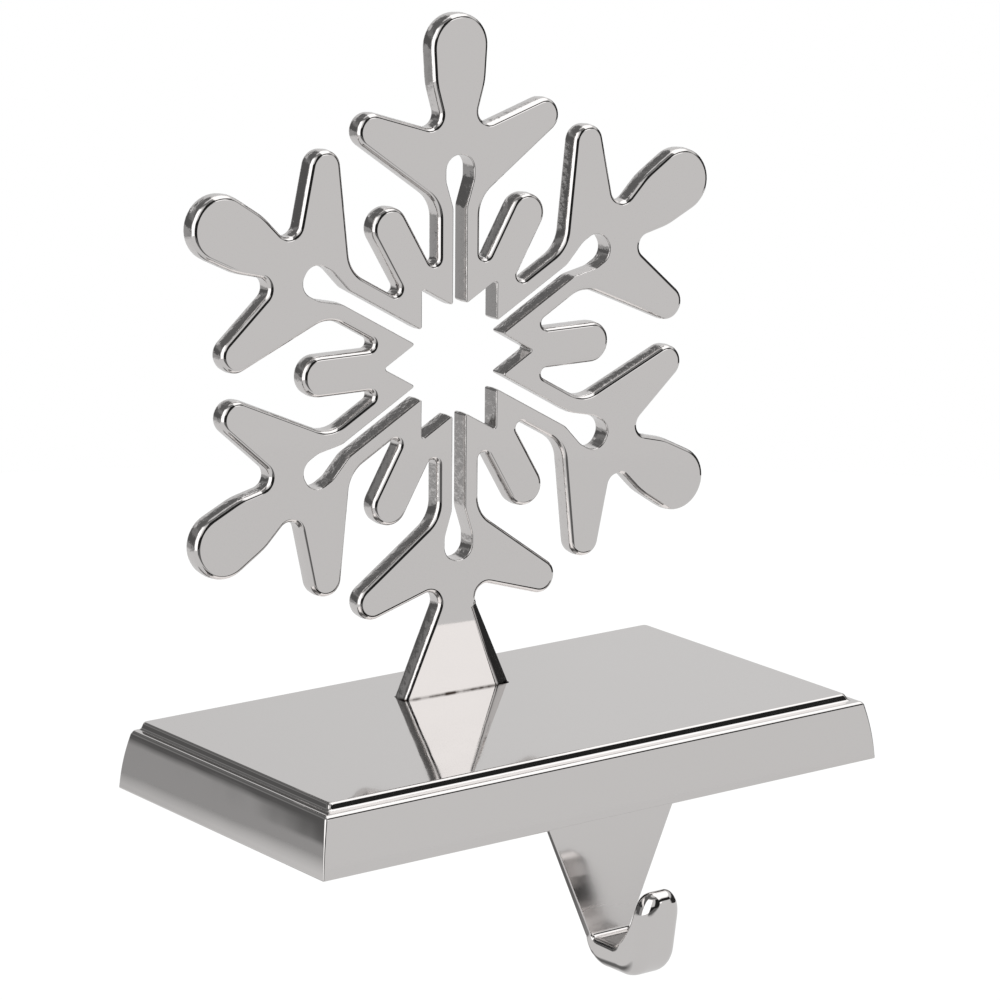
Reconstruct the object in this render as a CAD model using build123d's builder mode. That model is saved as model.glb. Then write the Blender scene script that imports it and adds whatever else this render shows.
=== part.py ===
from build123d import *

import os
from math import asin, atan2, cos, radians, sin, tan

# Mantel stocking holder: a cast base with a hook on its front edge carries a flat snowflake figure.
# Millimetres. Z = 0 is the mantel top, +Z is up, the hook and the front are towards -Y.

# Base casting
base_length = 127.0
base_depth = 67.0
base_height = 12.5
side_lean = 1.7  # the sides rise upright from the bottom and curve in by this much at the ledge
step_height = 1.35  # rise of the top panel
ledge_width = 2.5  # ledge at the front and the ends, the top panel is flush at the back
base_edge_bevel = 0.6  # upright corners and the ledge's rim
panel_corner_radius = 0.9
panel_edge_bevel = 0.4

# Non-slip pad in a recess under the base
pad_thickness = 2.0
pad_proud = 0.8  # the pad stands this far below the casting
pad_rim = 5.0  # casting left round the recess
pad_corner_radius = 4.0
pad_clearance = 0.25

# Tongue and J-hook
tongue_top_width = 28.5
tongue_drop = 22.0  # underside of the casting to the hook's floor
tongue_thickness = 1.5
tongue_back_radius = 1.4
hook_width = 8.4
hook_floor_depth = 6.8  # flat floor in front of the tongue
hook_floor_thickness = 5.2
hook_heel_radius = 5.0
hook_toe_radius = 5.8
hook_edge_bevel = 1.2
lip_rise = 11.8  # floor to the top of the lip
lip_reach = 16.0  # tongue's face to the front of the lip
lip_thickness = 4.2
lip_lean = 9.0  # degrees, the lip's front leans forward

# Snowflake figure: distances along an arm and to its side, from the figure's centre
figure_thickness = 4.1
figure_rise = 64.25  # top of the base to the centre
figure_set_back = 16.0  # middle of the base to the middle of the figure
figure_turn = -3.0  # degrees, the figure stands turned a little on its one screw
figure_edge_bevel = 0.6  # round the front of the outline
arm_count = 6
neck_along = 42.8
neck_half_width = 3.3
neck_round = 2.2
shoulder_rise = 8.85  # neck to the bulb's shoulder
shoulder_half_width = 5.85
shoulder_round = 14.0
bulb_length = 12.95  # shoulder to the bulb's tip
bulb_half_width = 6.7
bulb_round = 6.2
branch_rise = 1.4  # neck to the centre of a branch's round end
branch_round = 3.4
branch_gap = 4.95  # between the round ends of neighbouring branches
armpit_drop = 13.0  # neck back to the armpit under a branch
armpit_round = 6.1
arm_half_width = 4.7
petal_tip = 34.0
petal_half_width = 3.95
petal_round = 3.85
notch_round = 0.95
keyhole_setback = 4.45  # neck back to the keyhole's tip
keyhole_half_width = 2.9
keyhole_round = 2.7
keyhole_length = 4.6  # tip to where the keyhole starts to narrow
throat_length = 5.05  # from there to the straight slot
throat_round = 4.0
slot_half_width = 1.3
star_tooth = 10.15  # teeth of the star opening
foot_neck_half_width = 2.5
foot_width = 24.1

# Fixing screw
screw_diameter = 2.5
screw_bite = 8.0  # thread in the figure's foot
screw_grip = 4.3  # casting between the screw's head and the foot
screw_head_diameter = 5.0
screw_head_height = 2.0
screw_head_bevel = 0.5
driver_slot_width = 0.8
driver_slot_length = 3.4
driver_slot_depth = 1.0
thread_clearance = 0.05
screw_clearance = 0.25
counterbore_diameter = 7.0
access_hole_diameter = 10.0

round_share = 0.98  # most of a wall or a half-width that a rounding may take

# Heights and places that follow from the sizes above
base_bottom = pad_proud
base_top = base_bottom + base_height
ledge_top = base_top - step_height
ledge_length = base_length - 2 * side_lean
ledge_depth = base_depth - 2 * side_lean
panel_length = ledge_length - 2 * ledge_width
panel_depth = ledge_depth - ledge_width
front_y = -base_depth / 2
floor_z = base_bottom - tongue_drop
recess_length = base_length - 2 * pad_rim
recess_depth = base_depth - 2 * pad_rim
recess_top = base_bottom + pad_thickness - pad_proud
figure_axis = (0, figure_set_back)
seat_z = base_top - screw_grip

os.makedirs("parts", exist_ok=True)

# Hook profile, seen from the side: distance in front of the tongue's face, height above the floor
hook_plane = Plane(origin=(0, front_y, floor_z), x_dir=(0, -1, 0), z_dir=(-1, 0, 0))
lean = radians(lip_lean)
lip_round = lip_thickness / 2
lip_centre = Vector(lip_reach - lip_round, lip_rise - lip_round)
lip_front = lip_centre + Vector(cos(lean), -sin(lean)) * lip_round
lip_back = lip_centre - Vector(cos(lean), -sin(lean)) * lip_round
lip_axis = Vector(sin(lean), cos(lean))
floor_end = Vector(hook_floor_depth, 0)
toe = Vector(
    lip_front.X - (lip_front.Y + hook_floor_thickness) * tan(lean),
    -hook_floor_thickness,
)
heel = Vector(-tongue_thickness, -hook_floor_thickness)

with BuildPart() as hook:
    with BuildSketch(hook_plane):
        with BuildLine():
            Polyline((heel.X, 0), (0, 0), floor_end)
            TangentArc(lip_back, floor_end, tangent=-lip_axis)
            ThreePointArc(lip_back, lip_centre + lip_axis * lip_round, lip_front)
            FilletPolyline(
                lip_front,
                toe,
                heel,
                (heel.X, 0),
                radius=[hook_toe_radius, min(hook_heel_radius, round_share * hook_floor_thickness)],
            )
        make_face()
    extrude(amount=hook_width / 2, both=True)
    outer_rims = [
        edge
        for edge in hook.edges().filter_by(Axis.X, reverse=True)
        if (edge @ 0.5).Z < floor_z or (edge @ 0.5).Y < front_y - lip_back.X
    ]
    chamfer(outer_rims, hook_edge_bevel)

with BuildPart() as tongue:
    with BuildSketch(Plane.XZ.offset(-front_y)):
        Polygon(
            (-tongue_top_width / 2, base_bottom),
            (tongue_top_width / 2, base_bottom),
            (hook_width / 2, floor_z),
            (-hook_width / 2, floor_z),
            align=None,
        )
    extrude(amount=-tongue_thickness)
    back_rims = tongue.faces().sort_by(Axis.Y)[-1].edges().filter_by(
        lambda edge: base_bottom > (edge @ 0.5).Z > floor_z
    )
    fillet(back_rims, min(tongue_back_radius, round_share * tongue_thickness))


def bulged_section(bottom_width, top_width):
    """Section of the base: each side rises upright from the bottom and curves in to the ledge."""
    bottom_corner = Vector(bottom_width / 2, base_bottom)
    ledge_corner = Vector(top_width / 2, ledge_top)
    with BuildSketch() as section:
        with BuildLine():
            Line((0, base_bottom), bottom_corner)
            TangentArc(bottom_corner, ledge_corner, tangent=(0, 1))
            Line(ledge_corner, (0, ledge_top))
            mirror(about=Plane.YZ)
        make_face()
    return section.sketch


# The base is its section from front to back, trimmed by its section from end to end
with BuildPart() as base_with_hook:
    with BuildSketch(Plane.YZ):
        add(bulged_section(base_depth, ledge_depth))
    extrude(amount=base_length / 2, both=True)
    with BuildSketch(Plane.XZ):
        add(bulged_section(base_length, ledge_length))
    extrude(amount=base_depth / 2, both=True, mode=Mode.INTERSECT)
    corners = base_with_hook.edges().filter_by(lambda edge: abs(edge.tangent_at(0.5).Z) > 0.5)
    ledge_rim = base_with_hook.faces().sort_by(Axis.Z)[-1].edges().sort_by(Axis.Y)[:-1]  # all but the back
    chamfer(corners + ledge_rim, base_edge_bevel)
    with BuildSketch(Plane.XY.offset(ledge_top)):
        with Locations((0, ledge_width / 2)):
            RectangleRounded(panel_length, panel_depth, panel_corner_radius)
    extrude(amount=step_height)
    chamfer(base_with_hook.faces().sort_by(Axis.Z)[-1].edges(), panel_edge_bevel)
    with BuildSketch(Plane.XY.offset(base_bottom)):
        RectangleRounded(recess_length, recess_depth, pad_corner_radius)
    extrude(amount=recess_top - base_bottom, mode=Mode.SUBTRACT)
    with BuildSketch(Plane.XY.offset(recess_top)):
        with Locations(figure_axis):
            Circle(counterbore_diameter / 2)
    extrude(amount=seat_z - recess_top, mode=Mode.SUBTRACT)
    with BuildSketch(Plane.XY.offset(seat_z)):
        with Locations(figure_axis):
            Circle(screw_diameter / 2 + screw_clearance)
    extrude(amount=screw_grip, mode=Mode.SUBTRACT)
    add(tongue.part)
    add(hook.part)
base_with_hook.part.label = "base_with_hook"
export_step(base_with_hook.part, "parts/base_with_hook.step")

with BuildPart() as non_slip_pad:
    with BuildSketch(Plane.XY):
        RectangleRounded(
            recess_length - 2 * pad_clearance,
            recess_depth - 2 * pad_clearance,
            pad_corner_radius - pad_clearance,
        )
        with Locations(figure_axis):
            Circle(access_hole_diameter / 2, mode=Mode.SUBTRACT)
    extrude(amount=pad_thickness)
non_slip_pad.part.label = "non_slip_pad"
export_step(non_slip_pad.part, "parts/non_slip_pad.step")

# Snowflake outline: one arm's sector from petal to petal, mirrored about the arm, turned six times
sector_half_angle = radians(180 / arm_count)


def on_petal(along, aside):
    """Point beside the petal's axis, on the side of the arm that the outline follows."""
    across = Vector(-cos(sector_half_angle), sin(sector_half_angle))
    return Vector(sin(sector_half_angle), cos(sector_half_angle)) * along + across * aside


def branch_edge_angle(start, side):
    """Direction from a corner of the outline to where its line touches the branch's round end."""
    span = branch_centre - start
    return atan2(span.Y, span.X) + side * asin(branch_round / span.length)


def branch_corner(edge_angle, side):
    """Corner between a branch's edge and the line across its end, both tangent to the round end."""
    turn = edge_angle - branch_angle
    across = side * branch_round / cos(turn) + branch_round * tan(turn)
    along = Vector(cos(branch_angle), sin(branch_angle))
    return branch_centre + along * branch_round + Vector(-along.Y, along.X) * across


branch_along = neck_along + branch_rise
branch_to_sector_edge = branch_round + branch_gap / 2
branch_aside = (branch_along * sin(sector_half_angle) - branch_to_sector_edge) / cos(sector_half_angle)
branch_centre = Vector(branch_aside, branch_along)
neck = Vector(neck_half_width, neck_along)
foot_neck = Vector(foot_neck_half_width, neck_along)
shoulder = Vector(shoulder_half_width, neck_along + shoulder_rise)
bulb_tip = shoulder.Y + bulb_length
bulb_lean = atan2(bulb_half_width - shoulder_half_width, bulb_length)
widest_bulb_round = round_share * bulb_half_width / tan(radians(45) + bulb_lean / 2)
armpit = Vector(arm_half_width, neck_along - armpit_drop)
upper_angle = branch_edge_angle(neck, 1)
lower_angle = branch_edge_angle(armpit, -1)
branch_angle = (upper_angle + lower_angle) / 2
notch = Vector(
    arm_half_width,
    (arm_half_width * cos(sector_half_angle) + petal_half_width) / sin(sector_half_angle),
)
branch_to_petal = [
    neck,
    branch_corner(upper_angle, 1),
    branch_corner(lower_angle, -1),
    armpit,
    notch,
    on_petal(petal_tip, petal_half_width),
    on_petal(petal_tip, 0),
]
branch_to_petal_radii = [
    neck_round,
    round_share * branch_round,
    round_share * branch_round,
    armpit_round,
    notch_round,
    min(petal_round, round_share * petal_half_width),
]

with BuildSketch() as bulb_sector:
    with BuildLine():
        FilletPolyline(
            (0, bulb_tip),
            (bulb_half_width, bulb_tip),
            shoulder,
            *branch_to_petal,
            radius=[min(bulb_round, widest_bulb_round), shoulder_round, *branch_to_petal_radii],
        )
        Line(on_petal(petal_tip, 0), (0, 0))
        mirror(about=Plane.YZ)
    make_face()

with BuildSketch() as foot_sector:
    with BuildLine():
        Line((0, figure_rise), (foot_width / 2, figure_rise))
        FilletPolyline(
            (foot_width / 2, figure_rise),
            foot_neck,
            *branch_to_petal[1:],
            radius=branch_to_petal_radii,
        )
        Line(on_petal(petal_tip, 0), (0, 0))
        mirror(about=Plane.YZ)
    make_face()

keyhole_tip = neck_along - keyhole_setback
keyhole_along = keyhole_tip - keyhole_length
throat = Vector(slot_half_width, keyhole_along - throat_length)
tooth = Vector(slot_half_width, star_tooth)
tooth_edge = star_tooth - slot_half_width / tan(sector_half_angle)
star_point = tooth + Vector(cos(sector_half_angle), sin(sector_half_angle)) * tooth_edge
with BuildSketch() as keyhole_sector:
    with BuildLine():
        FilletPolyline(
            (0, keyhole_tip),
            (keyhole_half_width, keyhole_tip),
            (keyhole_half_width, keyhole_along),
            throat,
            tooth,
            radius=[min(keyhole_round, round_share * keyhole_half_width), throat_round, throat_round],
        )
        Line(tooth, star_point)
        Line(star_point, (0, 0))
        mirror(about=Plane.YZ)
    make_face()

figure_plane = Plane(
    origin=(*figure_axis, base_top + figure_rise),
    x_dir=(cos(radians(figure_turn)), sin(radians(figure_turn)), 0),
    z_dir=(sin(radians(figure_turn)), -cos(radians(figure_turn)), 0),
)
sector_step = 360 / arm_count
with BuildPart() as snowflake:
    with BuildSketch(figure_plane):
        with PolarLocations(0, arm_count - 1, sector_step - 180, 360 - sector_step):
            add(bulb_sector.sketch)
        with PolarLocations(0, 1, 180):
            add(foot_sector.sketch)
        with PolarLocations(0, arm_count):
            add(keyhole_sector.sketch, mode=Mode.SUBTRACT)
    extrude(amount=figure_thickness / 2, both=True)
    front_face = snowflake.faces().sort_by(SortBy.AREA)[-2:].sort_by(Axis.Y)[0]
    front_rim = front_face.outer_wire().edges().sort_by(Axis.Z)[1:]  # all but the foot's lower edge
    chamfer(front_rim, figure_edge_bevel)
    with BuildSketch(Plane.XY.offset(base_top)):
        with Locations(figure_axis):
            Circle(screw_diameter / 2 + thread_clearance)
    extrude(amount=screw_bite, mode=Mode.SUBTRACT)
snowflake.part.label = "snowflake"
export_step(snowflake.part, "parts/snowflake.step")

# Fixing screw: pan head with a cross recess, its shank reaches up into the foot
with BuildPart() as fixing_screw:
    with BuildSketch(Plane.XY.offset(seat_z - screw_head_height)):
        with Locations(figure_axis):
            Circle(screw_head_diameter / 2)
    extrude(amount=screw_head_height)
    chamfer(fixing_screw.edges().sort_by(Axis.Z)[0], screw_head_bevel)
    with BuildSketch(Plane.XY.offset(seat_z)):
        with Locations(figure_axis):
            Circle(screw_diameter / 2)
    extrude(amount=screw_grip + screw_bite - thread_clearance)
    with BuildSketch(Plane.XY.offset(seat_z - screw_head_height)):
        with Locations(figure_axis):
            Rectangle(driver_slot_length, driver_slot_width)
            Rectangle(driver_slot_width, driver_slot_length)
    extrude(amount=driver_slot_depth, mode=Mode.SUBTRACT)
fixing_screw.part.label = "fixing_screw"
export_step(fixing_screw.part, "parts/fixing_screw.step")
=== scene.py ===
from math import asin, atan2, cos, hypot, pi, radians, sin, tan

import bmesh
import bpy
import numpy as np
from mathutils import Matrix, Vector
from mathutils.geometry import delaunay_2d_cdt


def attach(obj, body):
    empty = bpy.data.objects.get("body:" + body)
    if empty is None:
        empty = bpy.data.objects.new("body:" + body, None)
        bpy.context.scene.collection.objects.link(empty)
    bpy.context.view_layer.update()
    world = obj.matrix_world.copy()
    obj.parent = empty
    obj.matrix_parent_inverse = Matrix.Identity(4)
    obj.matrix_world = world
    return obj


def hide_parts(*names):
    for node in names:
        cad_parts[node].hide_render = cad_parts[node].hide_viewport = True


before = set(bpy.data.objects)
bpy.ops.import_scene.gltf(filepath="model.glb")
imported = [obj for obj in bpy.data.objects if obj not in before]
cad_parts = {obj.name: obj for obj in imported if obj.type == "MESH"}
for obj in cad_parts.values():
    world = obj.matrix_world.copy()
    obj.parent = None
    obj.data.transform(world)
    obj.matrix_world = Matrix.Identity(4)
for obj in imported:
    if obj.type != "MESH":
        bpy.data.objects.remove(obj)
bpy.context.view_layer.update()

# Polished mantel stocking holder: a snowflake casting on a base casting with a hook.
# Sizes are millimetres and meshes are metres. Z = 0 is the mantel top, the hook is towards -Y.
MM = 0.001

# Base casting
base_length = 127.0
base_depth = 67.0
base_bottom = 0.8
base_top = 13.3
ledge_top = 11.95
side_lean = 1.7  # how far the sides have come in at the ledge
side_foot_lean = radians(4.5)
ledge_width = 2.5
base_corner_round = 0.18
rim_corner_round = 0.5
panel_corner_round = 0.9
bottom_round = 0.2
ledge_round = 0.95
side_end_room = 1.5 * ledge_round  # upper end of the side that is kept for the ledge's rounding
riser_lean = 0.6
cove_round = 0.65
panel_round = 0.65
front_y = -base_depth / 2

# Underside and pad
pad_rim = 5.0
pad_clearance = 0.25
pad_thickness = 2.0
pad_corner_round = 4.0
pad_edge_round = 0.35
access_hole_radius = 5.0
counterbore_radius = 3.5
screw_hole_radius = 1.5
screw_hole_end = base_top - 1
seat_z = 9.0
recess_ceiling = base_bottom + pad_thickness / 2  # a little below the pad's top

# Tongue and hook: distance in front of the tongue's face, height above the hook's floor
floor_z = -21.2
tongue_top_width = 28.5
tongue_thickness = 1.5
tongue_proud = 0.004
tongue_overlap = 0.22
hook_width = 8.7
hook_floor_depth = 6.8
hook_floor_thickness = 5.2
hook_heel_round = 5.0
hook_toe_round = 6.4
crease_round = 0.8
lip_foot_round = 1.6
lip_rise = 11.8
lip_reach = 16.0
lip_thickness = 4.2
lip_lean = radians(9.0)
lip_bow = 0.87
lip_corner_width = 3.2
lip_corner_drop = 5.0
tongue_edge_rounds = (0.2, 0.6)  # on the inner and the outer side
hook_edge_rounds = (1.3, 2.5)
edge_round_share = 0.96  # most of a section's thickness that its two roundings may take
least_thickness = 0.002

# Snowflake figure: distances along an arm and to its side
arm_count = 6
figure_thickness = 4.1
figure_rise = 64.25
figure_set_back = 16.0
figure_turn = radians(-3.0)
outline_edge_round = 1.0
opening_edge_round = 0.35
wall_crown = 0.1
neck = (3.3, 42.8)
neck_round = 2.2
shoulder = (5.85, 51.65)
shoulder_round = 14.0
bulb_tip = (6.7, 64.6)
bulb_round = 6.2
branch_centre = (18.74, 44.2)
branch_round = 3.4
armpit = (4.7, 29.8)
armpit_round = 6.1
notch_round = 0.95
petal_tip = 34.0
petal_half_width = 3.95
petal_round = 3.85
keyhole_tip = (2.9, 38.35)
keyhole_round = 2.7
keyhole_foot = (2.9, 33.75)
throat = (1.3, 28.7)
throat_round = 4.0
tooth = (1.3, 10.15)
tooth_round = 0.5
star_point_round = 0.3
foot_neck = (2.5, 42.8)
foot_half_width = 12.05
foot_corner_round = 1.3
foot_edge_wear = 3.4  # times the outline's edge rounding
neck_edge_wear = 1.8
foot_let_in = 1.85
# Height of the painted shade in the joint between foot and base
joint_shade_height = 0.5
round_share = 0.98

# Where the castings were left as cast
wall_start = 0.8  # share of a normal's length that lies in the figure's plane
wall_spread = 0.15
tongue_face_depth = 1.0
tongue_face_normal = -0.98

# Mesh detail
arc_steps = 13
edge_steps = 7
base_profile_steps = edge_steps + 4
hook_section_steps = edge_steps + 2
arc_points = arc_steps + 2  # an arc, with one more point just before and after it
hold = 0.15  # largest distance of such a point or ring from the rounding that it follows
smooth_angle = radians(35)
merge_distance = 2e-6
least_edge = 1e-6
cap_tolerance = 1e-6
floor_points = 96

# Finishes: noise is a scale and a detail, relief depths are metres
nickel = (0.705, 0.684, 0.674, 1)
# Painted shade: the next colour darkens the joint between foot and base
joint_shade_colour = (0.04, 0.03, 0.025, 1)
zinc = (0.58, 0.58, 0.6, 1)
foam_tones = ((0.022, 0.022, 0.024, 1), (0.06, 0.06, 0.063, 1))
paper_white = (0.86, 0.86, 0.86, 1)
plain_white = (1, 1, 1, 1)
plate_clouds = (90, 4)
plate_roughness = (0.03, 0.06)
polish_waves = (70, 1)
# Painted shade in the joint between foot and base: its uneven patches and their levels
cast_grain = (650, 3)
joint_shade_patches = (400, 3)
joint_shade_patch_levels = (0.5, 1.6)
zinc_grain = (900, 3)
zinc_roughness = (0.22, 0.38)
foam_pores = (1400, 3)
foam_roughness = 0.85
foam_pore_depth = 0.0004
foam_pore_strength = 0.6

# Light tent: each panel has its azimuths, its elevations, its level and the softness of its borders.
# Angles are degrees, and azimuth is 0 in front and positive to the right.
tent_level = 0.74
tent_panels = [
    ((-43.0, 18.0), (-70.0, 12.0), 0.02, 2.0),  # open side, low
    ((-19.0, 18.0), (8.0, 52.0), 0.02, 2.0),  # open side, high
    ((14.0, 60.0), (19.0, 38.0), 0.02, 1.0),  # dark strip at the right front
    ((-96.0, -45.0), (-50.0, 50.0), 1.65, 3.0),  # bright left wall
    ((-181.0, -98.0), (-50.0, 15.0), 0.37, 3.0),  # dim wall at the back left
    ((-153.0, -136.0), (-30.0, -12.5), 0.3, 2.0),  # patch low on that wall
    ((-181.0, -120.0), (-3.0, 20.0), 0.11, 0.6),  # dark band across that wall
    ((-142.5, -120.0), (-7.0, 20.0), 0.11, 0.6),  # deeper end of the band
    ((-164.0, -98.0), (15.0, 34.0), 0.24, 2.0),  # dim strip above the band
    ((-181.0, -98.0), (26.0, 72.0), 0.14, 3.0),  # dark slope at the back left
    ((-98.0, 18.0), (54.0, 72.0), 0.18, 3.0),  # dark slope at the front left
    ((20.0, 32.6), (8.0, 18.5), 1.5, 0.8),  # small bright patch at the right front
    ((52.0, 130.0), (-45.0, 20.0), 0.03, 5.0),  # dark right wall
    ((150.0, 181.0), (-20.0, 20.0), 0.6, 8.0),  # soft light at the back
    ((156.0, 181.0), (29.0, 72.0), 0.14, 3.0),  # dark slope at the back
    ((18.0, 158.0), (42.0, 91.0), 1.5, 3.0),  # bright top at the right
]

# Studio floor: levels are those that the polished metal mirrors
floor_level = -140.0
floor_radius = 850.0
floor_dim_side = radians(-146.0)
floor_fade = (600.0, 850.0)
floor_levels = (0.76, 0.3)
floor_shade_centre = (-80.0, 105.0)
floor_shade = (40.0, 110.0)
floor_shade_level = 0.06
floor_open_side = (-43.0, 16.0)
floor_open_soft = 2.0
floor_open_start = (300.0, 420.0)
floor_open_level = 0.02
floor_white = 1.14
floor_glow = 0.8

# Camera
camera_azimuth = radians(-36.72)
camera_elevation = radians(13.71)
camera_roll = radians(0.43)
camera_distance = 821.3
camera_target = (-0.91, 0.0, 53.61)
focal_pixels = 4448.1
photo_pixels = 1000.0
sensor_width = 36.0
clip_near = 0.05  # metres
clip_far = 50.0


def rounded_path(corners, radii, steps=arc_steps, spare=hold):
    """Closed outline whose corners are arcs tangent to both sides.

    At a corner where the path turns by t, the arc of radius r starts r*tan(|t|/2) before the corner. Its
    points are the arc's centre plus or minus r times the normal on the right of the heading, and the heading
    goes evenly from one side to the next. One more point just before and after each arc keeps the straight
    runs flat in the shading. Works on stacks of outlines, (..., corners, 2), and returns points and normals.
    """
    run = np.roll(corners, -1, -2) - corners
    length = np.linalg.norm(run, axis=-1, keepdims=True)
    ahead = run / length
    behind = np.roll(ahead, 1, -2)
    turn = np.arctan2(
        behind[..., 0] * ahead[..., 1] - behind[..., 1] * ahead[..., 0],
        (behind * ahead).sum(-1),
    )
    reach = radii * np.tan(np.abs(turn) / 2)
    straight = length[..., 0] - reach - np.roll(reach, -1, -1)
    after = np.clip(straight / 3, 0, spare)[..., None, None]
    before = np.roll(after, 1, -3)
    bend = (np.sign(turn) * radii)[..., None]
    left = np.stack([-behind[..., 1], behind[..., 0]], -1)
    centre = corners - behind * reach[..., None] + left * bend
    heading = np.arctan2(behind[..., 1], behind[..., 0])[..., None]
    heading = heading + turn[..., None] * np.linspace(0, 1, steps)
    normal = np.stack([np.sin(heading), -np.cos(heading)], -1)
    arc = centre[..., None, :] + bend[..., None] * normal
    first = arc[..., :1, :] - behind[..., None, :] * before
    last = arc[..., -1:, :] + ahead[..., None, :] * after
    points = np.concatenate([first, arc, last], -2)
    normals = np.concatenate([normal[..., :1, :], normal, normal[..., -1:, :]], -2)
    whole = (*corners.shape[:-2], -1, 2)
    return points.reshape(whole), normals.reshape(whole)


def stacked(rings, heights):
    """Rings (rows, points, 2) at their heights, as one grid of points (rows, points, 3)."""
    lift = np.broadcast_to(np.asarray(heights, float)[:, None, None], (*rings.shape[:2], 1))
    return np.concatenate([rings, lift], -1)


def grid_faces(rows, columns, close_rows=False):
    """Quads of a grid whose columns close on themselves, and whose rows may too."""
    row = np.arange(rows if close_rows else rows - 1)[:, None]
    column = np.arange(columns)[None, :]
    below = (row + 1) % rows
    beside = (column + 1) % columns
    corners = [(row, column), (row, beside), (below, beside), (below, column)]
    return np.stack([r * columns + c for r, c in corners], -1).reshape(-1, 4)


def closed_grid(grid, start):
    """Faces of a grid of rings with a flat face on its first and last ring."""
    rows, columns = grid.shape[:2]
    first = start + np.arange(columns)
    last = first + (rows - 1) * columns
    return [*(start + grid_faces(rows, columns)).tolist(), first[::-1].tolist(), last.tolist()]


def add_piece(name, points, faces, material, as_cast=None):
    """Closed mesh from points in millimetres and index faces, shaded smooth up to an angle.

    Doubles are merged and faces turned outwards. as_cast is a function of the vertices and their normals that
    gives 1 where the casting was left as cast and 0 where it was polished, kept as an attribute of that name.
    """
    mesh = bpy.data.meshes.new(name)
    mesh.from_pydata((points * MM).tolist(), [], faces)
    work = bmesh.new()
    work.from_mesh(mesh)
    bmesh.ops.remove_doubles(work, verts=work.verts, dist=merge_distance)
    bmesh.ops.dissolve_degenerate(work, edges=work.edges, dist=least_edge)
    bmesh.ops.recalc_face_normals(work, faces=work.faces)
    work.to_mesh(mesh)
    work.free()
    mesh.polygons.foreach_set("use_smooth", np.ones(len(mesh.polygons), bool))
    mesh.set_sharp_from_angle(angle=smooth_angle)
    mesh.materials.append(material)
    if as_cast is not None:
        places, normals = np.empty((2, 3 * len(mesh.vertices)), np.float32)
        mesh.vertices.foreach_get("co", places)
        mesh.vertices.foreach_get("normal", normals)
        share = as_cast(places.reshape(-1, 3) / MM, normals.reshape(-1, 3))
        attribute = mesh.attributes.new("as_cast", "FLOAT", "POINT")
        attribute.data.foreach_set("value", share.astype(np.float32))
    piece = bpy.data.objects.new(name, mesh)
    bpy.context.scene.collection.objects.link(piece)
    return piece


# Snowflake


def tangent_angle(corner, side):
    """Heading of the line from a corner that touches the branch's round end on one side."""
    across, along = branch_centre[0] - corner[0], branch_centre[1] - corner[1]
    return atan2(along, across) + side * asin(branch_round / hypot(across, along))


def branch_corner(edge_angle, branch_angle, side):
    """Corner of a branch's edge and the line across its end, both tangent to the round end."""
    turn = edge_angle - branch_angle
    across = side * branch_round / cos(turn) + branch_round * tan(turn)
    return (
        branch_centre[0] + branch_round * cos(branch_angle) - across * sin(branch_angle),
        branch_centre[1] + branch_round * sin(branch_angle) + across * cos(branch_angle),
    )


def turned(corners, angles):
    """Copies of corners turned anticlockwise by each angle, one after another."""
    c, s = np.cos(angles), np.sin(angles)
    spin = np.stack([np.stack([c, s], -1), np.stack([-s, c], -1)], -2)
    return np.einsum("ni,kij->knj", corners, spin).reshape(-1, 2)


def mirrored(corners):
    return corners[::-1] * (-1, 1)


def snowflake_outline():
    """Outer outline, anticlockwise: each arm's right side from petal to tip, then its mirrored left side.

    The third value is how far the front and back edges are rounded in. The foot's right edge is worn wider.
    """
    upper, lower = tangent_angle(neck, 1), tangent_angle(armpit, -1)
    branch_angle = (upper + lower) / 2
    half = pi / arm_count
    notch = (armpit[0], (armpit[0] * cos(half) + petal_half_width) / sin(half))
    petal = (
        petal_tip * sin(half) - petal_half_width * cos(half),
        petal_tip * cos(half) + petal_half_width * sin(half),
    )
    side = [
        (petal, petal_round),
        (notch, notch_round),
        (armpit, armpit_round),
        (branch_corner(lower, branch_angle, -1), round_share * branch_round),
        (branch_corner(upper, branch_angle, 1), round_share * branch_round),
    ]
    bulb = side + [(neck, neck_round), (shoulder, shoulder_round), (bulb_tip, bulb_round)]
    flare = (foot_half_width - foot_neck[0]) / (figure_rise - foot_neck[1])
    foot_corner = (foot_half_width + flare * foot_let_in, figure_rise + foot_let_in)
    foot = side + [(foot_neck, neck_round), (foot_corner, foot_corner_round)]
    foot_place = arm_count // 2
    corners, radii = [], []
    for k in range(arm_count):
        arm = foot if k == foot_place else bulb
        right = np.array([corner for corner, _ in arm])
        bends = np.array([bend for _, bend in arm])
        corners.append(turned(np.concatenate([right, mirrored(right)]), np.array([2 * half * k])))
        radii.append(np.concatenate([bends, bends[::-1]]))
    path, normals = rounded_path(np.concatenate(corners), np.concatenate(radii))
    worn_corner = foot_place * 2 * len(bulb) + len(foot)
    worn = np.ones(len(path))
    worn[(worn_corner + 1) * arc_points - 1] = foot_edge_wear
    worn[(worn_corner + 1) * arc_points] = neck_edge_wear
    return path, normals, outline_edge_round * worn


def snowflake_opening():
    """Star with its keyhole slots as one outline, clockwise, so that its normals point into the opening."""
    half = pi / arm_count
    edge = tooth[1] - tooth[0] / tan(half)
    star_point = (tooth[0] + edge * cos(half), tooth[1] + edge * sin(half))
    right = np.array([keyhole_tip, keyhole_foot, throat, tooth])
    bends = np.array([keyhole_round, throat_round, throat_round, tooth_round])
    slot = np.concatenate([mirrored(right), right, [star_point]])
    radii = np.concatenate([bends[::-1], bends, [star_point_round]])
    corners = turned(slot, -2 * half * np.arange(arm_count))
    path, normals = rounded_path(corners, np.tile(radii, arm_count))
    return path, normals, np.full(len(path), opening_edge_round)


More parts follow.
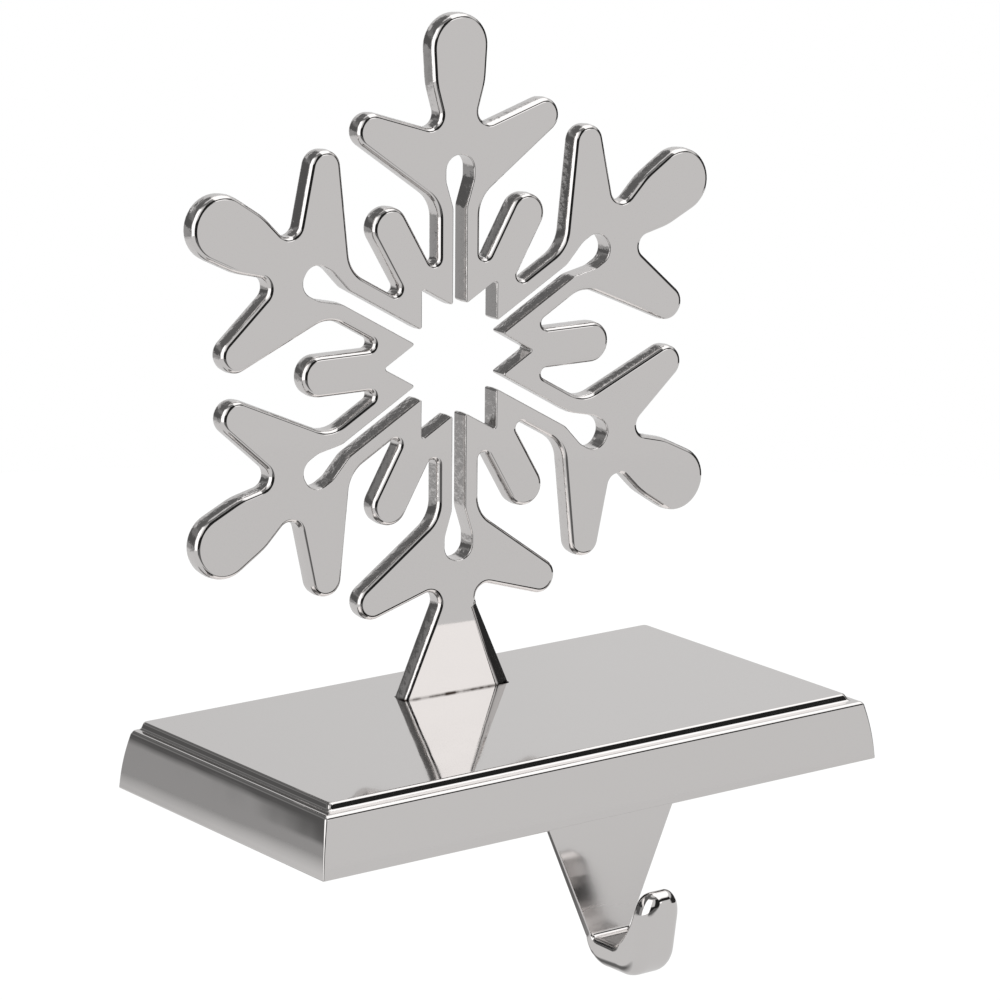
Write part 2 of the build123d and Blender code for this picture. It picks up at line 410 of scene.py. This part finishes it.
def rim(path, normals, edge_width, edge_round):
    """Wall round a plate: the path is drawn in by e at height w along a profile (e, w).

    The profile is a quarter ellipse, the wall and a quarter ellipse, from front to back, with one more ring
    on each flat face: e = c + (width - c)*(1 - sin a), w = h - r*(1 - cos a) for a from 0 to a quarter turn.
    The wall has the draft of both mould halves: it stands out by its crown c at the parting line in its
    middle. Where an edge is worn wider than r, 1 - sin a gives way to cos a, a flat bevel, by the share
    1 - r/width.
    """
    angle = np.linspace(0, pi / 2, edge_steps)
    wear = 1 - edge_round / edge_width
    share = np.outer(1 - np.sin(angle), 1 - wear) + np.outer(np.cos(angle), wear)
    face, middle = np.ones((1, len(path))), np.zeros((1, len(path)))
    share = np.concatenate([face, share, middle, share[::-1], face])
    half = figure_thickness / 2
    height = half - edge_round * (1 - np.cos(angle))
    height = np.concatenate([[half], height, [0], -height[::-1], [-half]])
    draft = np.full(len(share), wall_crown)
    draft[len(share) // 2] = 0
    draft[[0, -1]] += hold
    inset = draft[:, None] + share * (edge_width - wall_crown)
    return stacked(path - inset[..., None] * normals, height)


def plate_cap(*loops):
    """Triangles that fill the flat face between closed loops, by constrained Delaunay triangulation.

    A triangle is kept where a ray to the right from its middle crosses the loops an odd number of times.
    """
    starts = np.concatenate(loops)
    ends = np.concatenate([np.roll(loop, -1, 0) for loop in loops])
    sizes = [len(loop) for loop in loops]
    edges = [
        first + np.stack([np.arange(size), np.roll(np.arange(size), -1)], -1)
        for first, size in zip(np.cumsum([0, *sizes]), sizes)
    ]
    flat = [Vector(point) for point in starts]
    points, _, triangles, *_ = delaunay_2d_cdt(flat, np.concatenate(edges).tolist(), [], 0, cap_tolerance)
    points, triangles = np.array([tuple(point) for point in points]), np.array(triangles)
    x, y = points[triangles].mean(1).T[..., None]
    spans = (starts[:, 1] > y) != (ends[:, 1] > y)
    rise = np.where(starts[:, 1] == ends[:, 1], 1, ends[:, 1] - starts[:, 1])
    crossing = starts[:, 0] + (y - starts[:, 1]) * (ends[:, 0] - starts[:, 0]) / rise
    inside = (spans & (crossing > x)).sum(1) % 2 == 1
    return points, triangles[inside]


def snowflake_mesh(material):
    """Two rims and two flat faces in the figure's own plane, stood on the base and turned on its screw."""
    outer = rim(*snowflake_outline(), outline_edge_round)
    inner = rim(*snowflake_opening(), opening_edge_round)
    cap, triangles = plate_cap(outer[0, :, :2], inner[0, :, :2])
    lift = np.full((len(cap), 1), figure_thickness / 2)
    parts = [outer.reshape(-1, 3), inner.reshape(-1, 3), np.hstack([cap, lift]), np.hstack([cap, -lift])]
    starts = np.cumsum([0] + [len(part) for part in parts])
    faces = [
        *(grid_faces(*outer.shape[:2]) + starts[0]).tolist(),
        *(grid_faces(*inner.shape[:2]) + starts[1]).tolist(),
        *(triangles + starts[2]).tolist(),
        *(triangles[:, ::-1] + starts[3]).tolist(),
    ]
    flat = np.concatenate(parts)
    across, up, forward = flat[:, 0], np.maximum(flat[:, 1], -figure_rise), flat[:, 2]
    points = np.stack(
        [
            across * cos(figure_turn) + forward * sin(figure_turn),
            figure_set_back + across * sin(figure_turn) - forward * cos(figure_turn),
            base_top + figure_rise + up,
        ],
        -1,
    )
    return add_piece("snowflake_casting", points, faces, material, snowflake_as_cast)


def snowflake_as_cast(points, normals):
    """The walls round the figure: 1 up to 18 degrees off the figure's plane, 0 from 37 degrees."""
    plane = np.array([(cos(figure_turn), 0), (sin(figure_turn), 0), (0, 1)])
    return np.clip((np.linalg.norm(normals @ plane, axis=-1) - wall_start) / wall_spread, 0, 1)


# Base


def rectangle_rings(half_length, front, back, corner_round):
    """One rounded rectangle per row, from its half-length, its front and back edges and its corner radius."""
    corners = np.stack(
        [
            np.stack([half_length, back], -1),
            np.stack([-half_length, back], -1),
            np.stack([-half_length, front], -1),
            np.stack([half_length, front], -1),
        ],
        -2,
    )
    return rounded_path(corners, np.repeat(corner_round[:, None], 4, 1))[0]


def circle_ring(centre_y, radius, count):
    """Circle about (0, centre_y): radius times (cos a, sin a) at even angles a, anticlockwise from +X."""
    angle = 2 * pi * (np.arange(count) + 0.5) / count
    return (0, centre_y) + radius * np.stack([np.cos(angle), np.sin(angle)], -1)


def base_block():
    """Rounded rectangles carried up a profile (e, z), where e is how far the wall stands in.

    The profile goes round the bottom edge, up the side, over the ledge and up onto the panel, with its
    corners rounded. The panel has no ledge at the back. The side is one arc that starts at its foot's lean
    and ends at the ledge's rim: the lines that touch its ends are equally long, and the bend where they meet
    fills them both.
    """
    panel_in = side_lean + ledge_width
    side_height = ledge_top - base_bottom
    side_bend = atan2(side_lean, side_height) - side_foot_lean
    half_side = hypot(side_lean, side_height) / (2 * cos(side_bend))
    profile = np.array(
        [
            (pad_rim, base_bottom),
            (0, base_bottom),
            (half_side * sin(side_foot_lean), base_bottom + half_side * cos(side_foot_lean)),
            (side_lean, ledge_top),
            (panel_in - riser_lean, ledge_top),
            (panel_in, base_top),
            (2 * panel_in, base_top),
        ]
    )
    side_round = (half_side - side_end_room) / tan(side_bend)
    radii = np.array([0, bottom_round, side_round, ledge_round, cove_round, panel_round, 0])
    path, _ = rounded_path(profile, radii, base_profile_steps)
    end = base_profile_steps + 1
    inset, height = path[end:-end].T
    corner_by_inset = [
        (0, base_corner_round),
        (side_lean, rim_corner_round),
        (side_lean + ledge_round, rim_corner_round / 2),
        (panel_in, panel_corner_round),
        (panel_in + panel_round, panel_corner_round / 3),
    ]
    corner = np.interp(inset, *zip(*corner_by_inset))
    half_depth = base_depth / 2
    back_inset = np.minimum(inset, side_lean) + np.maximum(inset - panel_in, 0)
    rings = rectangle_rings(base_length / 2 - inset, inset - half_depth, half_depth - back_inset, corner)
    top = stacked(rings, height)
    mouth = rectangle_rings(
        np.array([base_length / 2 - pad_rim]),
        np.array([pad_rim - half_depth]),
        np.array([half_depth - pad_rim]),
        np.array([pad_corner_round]),
    )[0]
    bore = circle_ring(figure_set_back, counterbore_radius, len(mouth))
    screw_hole = circle_ring(figure_set_back, screw_hole_radius, len(mouth))
    under = stacked(
        np.stack([screw_hole, screw_hole, bore, bore, mouth, mouth]),
        [screw_hole_end, seat_z, seat_z, recess_ceiling, recess_ceiling, base_bottom],
    )
    return np.concatenate([under, top])


def hook_side_view():
    """Inner and outer curve of tongue and hook, point for point, and the top of the lip.

    Both run down the tongue, round the heel, along the floor and up the lip, where the inner one is bowed by
    4*q*(1 - q) times its bow at a share q of its climb. They meet on the half round at the lip's top.
    """
    lip_round = lip_thickness / 2
    along = np.array([cos(lip_lean), -sin(lip_lean)])
    upward = np.array([sin(lip_lean), cos(lip_lean)])
    lip_centre = np.array([lip_reach - lip_round, lip_rise - lip_round])
    lip_front, lip_back = lip_centre + lip_round * along, lip_centre - lip_round * along
    drop = base_bottom - floor_z + tongue_overlap
    toe_reach = lip_front[0] - (lip_front[1] + hook_floor_thickness) * tan(lip_lean)
    outline = np.array(
        [
            (tongue_proud, drop),
            (tongue_proud, 0),
            (hook_floor_depth, 0),
            lip_back,
            lip_front,
            (toe_reach, -hook_floor_thickness),
            (-tongue_thickness, -hook_floor_thickness),
            (-tongue_thickness, drop),
        ]
    )
    radii = np.array([0, crease_round, lip_foot_round, 0, 0, hook_toe_round, hook_heel_round, 0])
    path = rounded_path(outline, radii)[0].reshape(len(outline), -1, 2)
    crease, lip_foot, toe, heel = path[1], path[2], path[5], path[6]
    climb = np.linspace(0, 1, arc_steps)[1:-1, None]
    inner_lip = lip_foot[-1] + climb * (lip_back - lip_foot[-1])
    hollow = np.array([lip_back[1] - lip_foot[-1, 1], lip_foot[-1, 0] - lip_back[0]])
    inner_lip += 4 * climb * (1 - climb) * lip_bow * hollow / np.linalg.norm(hollow)
    outer_lip = toe[0] + climb * (lip_front - toe[0])
    over = np.linspace(0, pi / 2, arc_steps)[:, None]
    crown = lip_centre + lip_round * np.sin(over) * upward
    spread = lip_round * np.cos(over) * along
    inner = np.concatenate([outline[:1], crease, lip_foot, inner_lip, crown - spread])
    outer = np.concatenate([outline[-1:], heel[::-1], toe[::-1], outer_lip, crown + spread])
    return inner, outer, lip_centre + lip_round * upward


def hook_sweep():
    """Rounded rectangles carried along the hook's side view.

    A section's middle is halfway between the inner and the outer curve, its thickness is their distance, and
    its half-width narrows down the tongue and again at the lip's top, along a quarter ellipse:
    w - c*(1 - sqrt(1 - (1 - q)^2)) at a share q of its drop.
    """
    inner, outer, lip_top = hook_side_view()
    middle, across = (inner + outer) / 2, outer - inner
    thickness = np.maximum(np.linalg.norm(across, axis=-1), least_thickness)
    across = across / thickness[:, None]
    taper = np.where(outer[:, 0] < 0, np.clip(inner[:, 1] / (base_bottom - floor_z), 0, 1), 0)
    half_width = hook_width / 2 + taper * (tongue_top_width - hook_width) / 2
    row = np.arange(len(inner))
    crease_start, crease_end, floor_end = 1, 1 + arc_points, 1 + 2 * arc_points
    upward = np.array([sin(lip_lean), cos(lip_lean)])
    below_top = np.clip((lip_top - middle) @ upward / lip_corner_drop, 0, 1)
    below_top = np.where(row >= floor_end, below_top, 1)
    half_width -= lip_corner_width * (1 - np.sqrt(1 - (1 - below_top) ** 2))
    rounds = [
        np.interp(row, [crease_start, crease_end], [on_tongue, on_hook])
        for on_tongue, on_hook in zip(tongue_edge_rounds, hook_edge_rounds)
    ]
    fit = np.minimum(1, edge_round_share * thickness / (rounds[0] + rounds[1]))
    inner_round, outer_round = rounds[0] * fit, rounds[1] * fit
    half = thickness / 2
    section = np.stack(
        [
            np.stack([half_width, -half], -1),
            np.stack([half_width, half], -1),
            np.stack([-half_width, half], -1),
            np.stack([-half_width, -half], -1),
        ],
        -2,
    )
    corner_rounds = np.stack([inner_round, outer_round, outer_round, inner_round], -1)
    ring = rounded_path(section, corner_rounds, hook_section_steps)[0]
    side_view = middle[:, None] + ring[..., 1:] * across[:, None]
    return np.stack([ring[..., 0], front_y - side_view[..., 0], floor_z + side_view[..., 1]], -1)


def base_mesh(material):
    block, hook = base_block(), hook_sweep()
    points = np.concatenate([block.reshape(-1, 3), hook.reshape(-1, 3)])
    faces = closed_grid(block, 0) + closed_grid(hook, block.shape[0] * block.shape[1])
    return add_piece("base_casting", points, faces, material, base_as_cast)


def base_as_cast(points, normals):
    """The tongue's face behind the lip, where no polishing wheel reaches: 1 at the crease, 0 at the base."""
    _, y, z = points.T
    depth = np.clip((base_bottom - z) / (base_bottom - floor_z), 0, 1)
    on_face = (y > front_y - tongue_face_depth) & (normals[:, 1] < tongue_face_normal)
    return np.where(on_face, depth, 0)


def pad_mesh(material):
    """Rounded rectangle with a round hole: rings from the hole, over the rounded edge and back to the hole.

    The edge is a quarter circle above and below: drawn in by r*(1 - sin a) at r*(1 - cos a) from the face.
    """
    angle = np.linspace(0, pi / 2, edge_steps)
    draw_in = pad_edge_round * (1 - np.sin(angle))
    rise = pad_edge_round * (1 - np.cos(angle))
    inset = pad_rim + pad_clearance + np.concatenate([draw_in, draw_in[::-1]])
    height = np.concatenate([pad_thickness - rise, rise[::-1]])
    corner = pad_corner_round - (inset - pad_rim)
    rings = rectangle_rings(base_length / 2 - inset, inset - base_depth / 2, base_depth / 2 - inset, corner)
    hole = circle_ring(figure_set_back, access_hole_radius, rings.shape[1])
    grid = stacked(np.concatenate([[hole], rings, [hole]]), [pad_thickness, *height, 0])
    faces = grid_faces(*grid.shape[:2], close_rows=True).tolist()
    return add_piece("foam_pad", grid.reshape(-1, 3), faces, material)


# Shader nodes


def feed(tree, socket, value):
    """Set a socket to a number, or link it to an output."""
    if isinstance(value, (int, float)):
        socket.default_value = value
    else:
        tree.links.new(value, socket)


def math_node(tree, operation, *values):
    node = tree.nodes.new("ShaderNodeMath")
    node.operation = operation
    for socket, value in zip(node.inputs, values):
        feed(tree, socket, value)
    return node.outputs["Value"]


def vector_measure(tree, operation, place, other):
    """Number that a vector operation gives for a place and a fixed vector."""
    node = tree.nodes.new("ShaderNodeVectorMath")
    node.operation = operation
    tree.links.new(place, node.inputs[0])
    node.inputs[1].default_value = other
    return node.outputs["Value"]


def coordinates(tree, kind):
    return tree.nodes.new("ShaderNodeTexCoord").outputs[kind]


def axes_of(tree, vector):
    axes = tree.nodes.new("ShaderNodeSeparateXYZ")
    tree.links.new(vector, axes.inputs["Vector"])
    return axes.outputs


def azimuth_of(tree, x, front):
    """Azimuth in degrees: 0 at the front, positive to the right."""
    return math_node(tree, "DEGREES", math_node(tree, "ARCTAN2", x, front))


def noise_field(tree, scale, detail):
    noise = tree.nodes.new("ShaderNodeTexNoise")
    noise.inputs["Scale"].default_value = scale
    noise.inputs["Detail"].default_value = detail
    tree.links.new(coordinates(tree, "Object"), noise.inputs["Vector"])
    return noise.outputs["Fac"]


def ramp(tree, value, low, high, start=0.35, stop=0.65):
    """Value between start and stop, by default the usual span of noise, spread over low to high."""
    spread = tree.nodes.new("ShaderNodeMapRange")
    spread.inputs["From Min"].default_value = start
    spread.inputs["From Max"].default_value = stop
    spread.inputs["To Min"].default_value = low
    spread.inputs["To Max"].default_value = high
    tree.links.new(value, spread.inputs["Value"])
    return spread.outputs["Result"]


def band(tree, value, low, high, soft):
    """1 between low and high and 0 outside, with soft borders."""
    rise = ramp(tree, value, 0, 1, low - soft, low + soft)
    fall = ramp(tree, value, 1, 0, high - soft, high + soft)
    return math_node(tree, "MULTIPLY", rise, fall)


def blend(tree, share, a, b):
    """a where the share is 0 and b where it is 1."""
    mix = tree.nodes.new("ShaderNodeMix")
    feed(tree, mix.inputs["Factor"], share)
    feed(tree, mix.inputs["A"], a)
    feed(tree, mix.inputs["B"], b)
    return mix.outputs["Result"]


def blend_colours(tree, share, a, b):
    mix = tree.nodes.new("ShaderNodeMix")
    mix.data_type = "RGBA"
    tree.links.new(share, mix.inputs["Factor"])
    mix.inputs["A"].default_value = a
    mix.inputs["B"].default_value = b
    return mix.outputs["Result"]


def bump(tree, height, distance, strength, shader, under=None):
    relief = tree.nodes.new("ShaderNodeBump")
    relief.inputs["Distance"].default_value = distance
    relief.inputs["Strength"].default_value = strength
    tree.links.new(height, relief.inputs["Height"])
    if under is not None:
        tree.links.new(under, relief.inputs["Normal"])
    tree.links.new(relief.outputs["Normal"], shader.inputs["Normal"])
    return relief.outputs["Normal"]


# Finishes


def new_material(name):
    material = bpy.data.materials.new(name)
    material.use_nodes = True
    tree = material.node_tree
    return material, tree, tree.nodes["Principled BSDF"]


def polished_nickel(name, waviness, grain_depth, cast_dullness):
    """Mirror-bright plate with slight waves left by hand polishing.

    Where the casting was left as cast, it has the cast's grain and a duller gloss.
    """
    material, tree, shader = new_material(name)
    shader.inputs["Base Color"].default_value = nickel
    shader.inputs["Metallic"].default_value = 1
    as_cast = tree.nodes.new("ShaderNodeAttribute")
    as_cast.attribute_name = "as_cast"
    rough = as_cast.outputs["Fac"]
    gloss = ramp(tree, noise_field(tree, *plate_clouds), *plate_roughness)
    dull = ramp(tree, rough, 0, cast_dullness, 0, 1)
    tree.links.new(math_node(tree, "ADD", gloss, dull), shader.inputs["Roughness"])
    waves = bump(tree, noise_field(tree, *polish_waves), waviness, 1, shader)
    grain = math_node(tree, "MULTIPLY", noise_field(tree, *cast_grain), rough)
    bump(tree, grain, grain_depth, 1, shader, waves)
    return material


def add_painted_joint_shade(material):
    """Painted shade in the joint between foot and base: a thin uneven dark line just above the base's top."""
    tree = material.node_tree
    height = axes_of(tree, coordinates(tree, "Object"))["Z"]
    line = ramp(tree, height, 1, 0, base_top * MM, (base_top + joint_shade_height) * MM)
    patches = ramp(tree, noise_field(tree, *joint_shade_patches), *joint_shade_patch_levels)
    # Mixes the painted joint shade into the nickel colour
    plate = blend_colours(tree, math_node(tree, "MULTIPLY", line, patches), nickel, joint_shade_colour)
    tree.links.new(plate, tree.nodes["Principled BSDF"].inputs["Base Color"])


def zinc_plated_steel():
    material, tree, shader = new_material("zinc_plated_steel")
    shader.inputs["Base Color"].default_value = zinc
    shader.inputs["Metallic"].default_value = 1
    gloss = ramp(tree, noise_field(tree, *zinc_grain), *zinc_roughness)
    tree.links.new(gloss, shader.inputs["Roughness"])
    return material


def foam_rubber():
    """Dark closed-cell foam: fine pores over a matt sheet."""
    material, tree, shader = new_material("foam_rubber")
    pores = noise_field(tree, *foam_pores)
    tree.links.new(blend_colours(tree, pores, *foam_tones), shader.inputs["Base Color"])
    shader.inputs["Roughness"].default_value = foam_roughness
    bump(tree, pores, foam_pore_depth, foam_pore_strength, shader)
    return material


# Studio


def studio_world():
    """Light tent that the polished metal mirrors: the camera itself sees plain white.

    It is dark on its open side in front, on the right and above the left and the back. It is bright on the
    left, at the top right and in a small patch at the right front. Each panel replaces the level of those
    before it inside its soft borders.
    """
    world = bpy.data.worlds.new("light_tent")
    world.use_nodes = True
    tree = world.node_tree
    x, y, z = axes_of(tree, coordinates(tree, "Generated"))
    azimuth = azimuth_of(tree, x, math_node(tree, "MULTIPLY", y, -1.0))
    elevation = math_node(tree, "DEGREES", math_node(tree, "ARCSINE", z))
    level = tent_level
    for azimuths, elevations, panel_level, soft in tent_panels:
        beside = band(tree, azimuth, *azimuths, soft)
        inside = math_node(tree, "MULTIPLY", band(tree, elevation, *elevations, soft), beside)
        level = blend(tree, inside, level, panel_level)
    rays = tree.nodes.new("ShaderNodeLightPath")
    background = tree.nodes["Background"]
    background.inputs["Color"].default_value = plain_white
    tree.links.new(blend(tree, rays.outputs["Is Camera Ray"], level, 1.0), background.inputs["Strength"])
    bpy.context.scene.world = world


def in_metres(lengths):
    return [length * MM for length in lengths]


def pale_floor():
    """White paper that glows to the camera and in the polished metal.

    The level that the metal mirrors is the least of three: a fade towards the rim at the back left, the shade
    behind the hook, and the tent's open side, a wedge that starts some way in front of the holder.
    """
    material = bpy.data.materials.new("pale_floor")
    material.use_nodes = True
    tree = material.node_tree
    tree.nodes.clear()
    place = coordinates(tree, "Object")
    reach = vector_measure(tree, "DOT_PRODUCT", place, (sin(floor_dim_side), -cos(floor_dim_side), 0))
    fade = ramp(tree, reach, *floor_levels, *in_metres(floor_fade))
    shade_centre = Vector((*floor_shade_centre, floor_level)) * MM
    radius = vector_measure(tree, "DISTANCE", place, shade_centre)
    shade = ramp(tree, radius, floor_shade_level, floor_levels[0], *in_metres(floor_shade))
    x, y, _ = axes_of(tree, place)
    front = math_node(tree, "MULTIPLY", y, -1.0)
    wedge = band(tree, azimuth_of(tree, x, front), *floor_open_side, floor_open_soft)
    distant = ramp(tree, front, 0, 1, *in_metres(floor_open_start))
    open_side = math_node(tree, "MULTIPLY", wedge, distant)
    open_level = ramp(tree, open_side, floor_levels[0], floor_open_level, 0, 1)
    mirrored_level = math_node(tree, "MINIMUM", math_node(tree, "MINIMUM", fade, shade), open_level)
    rays = tree.nodes.new("ShaderNodeLightPath").outputs
    glow = tree.nodes.new("ShaderNodeEmission")
    glow.inputs["Color"].default_value = plain_white
    strength = blend(tree, rays["Is Camera Ray"], mirrored_level, floor_white)
    tree.links.new(strength, glow.inputs["Strength"])
    paper = tree.nodes.new("ShaderNodeBsdfDiffuse")
    paper.inputs["Color"].default_value = paper_white
    seen = math_node(tree, "MAXIMUM", rays["Is Camera Ray"], rays["Is Glossy Ray"])
    seen = math_node(tree, "MAXIMUM", seen, rays["Is Transmission Ray"])
    surface = tree.nodes.new("ShaderNodeMixShader")
    tree.links.new(math_node(tree, "MULTIPLY", seen, floor_glow), surface.inputs["Fac"])
    tree.links.new(paper.outputs["BSDF"], surface.inputs[1])
    tree.links.new(glow.outputs["Emission"], surface.inputs[2])
    output = tree.nodes.new("ShaderNodeOutputMaterial")
    tree.links.new(surface.outputs["Shader"], output.inputs["Surface"])
    return material


def studio_floor():
    """Round table under the hook, with a faint shadow: radius times (cos a, sin a) at even angles a."""
    angle = np.linspace(0, 2 * pi, floor_points, endpoint=False)
    edge = floor_radius * np.stack([np.cos(angle), np.sin(angle)], -1)
    points = np.column_stack([edge, np.full(floor_points, floor_level)]) * MM
    mesh = bpy.data.meshes.new("studio_floor")
    mesh.from_pydata(points.tolist(), [], [list(range(floor_points))])
    mesh.materials.append(pale_floor())
    floor = bpy.data.objects.new("studio_floor", mesh)
    bpy.context.scene.collection.objects.link(floor)


def studio_camera():
    """Camera on a sphere round its target, from the azimuth, elevation, roll and distance."""
    back = Vector(
        (
            sin(camera_azimuth) * cos(camera_elevation),
            -cos(camera_azimuth) * cos(camera_elevation),
            sin(camera_elevation),
        )
    )
    level = Vector((cos(camera_azimuth), sin(camera_azimuth), 0))
    upright = back.cross(level)
    right = level * cos(camera_roll) + upright * sin(camera_roll)
    place = (Vector(camera_target) + back * camera_distance) * MM
    data = bpy.data.cameras.new("photo_camera")
    data.sensor_width = sensor_width
    data.lens = focal_pixels * sensor_width / photo_pixels
    data.clip_start = clip_near
    data.clip_end = clip_far
    camera = bpy.data.objects.new("photo_camera", data)
    bpy.context.scene.collection.objects.link(camera)
    axes = Matrix((right, back.cross(right), back)).transposed()
    camera.matrix_world = Matrix.Translation(place) @ axes.to_4x4()
    bpy.context.scene.camera = camera


figure_finish = polished_nickel(
    "polished_nickel_figure",
    waviness=0.00003,
    grain_depth=0.00012,
    cast_dullness=0.08,
)
base_finish = polished_nickel(
    "polished_nickel_base",
    waviness=0.00004,
    grain_depth=0.000004,
    cast_dullness=0.3,
)
# Painted shade: a thin dark line in the joint between foot and base, on the figure's colour
add_painted_joint_shade(figure_finish)
figure = snowflake_mesh(figure_finish)
base = base_mesh(base_finish)
pad = pad_mesh(foam_rubber())
for piece, node, slot in (
    (figure, "snowflake", "polished_figure"),
    (base, "base_with_hook", "polished_base"),
    (pad, "non_slip_pad", "pad_rubber"),
):
    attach(piece, "root")
    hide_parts(node)
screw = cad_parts["fixing_screw"]
screw.data.materials.clear()
screw.data.materials.append(zinc_plated_steel())

studio_world()
studio_floor()
studio_camera()
bpy.context.scene.view_settings.view_transform = "Standard"
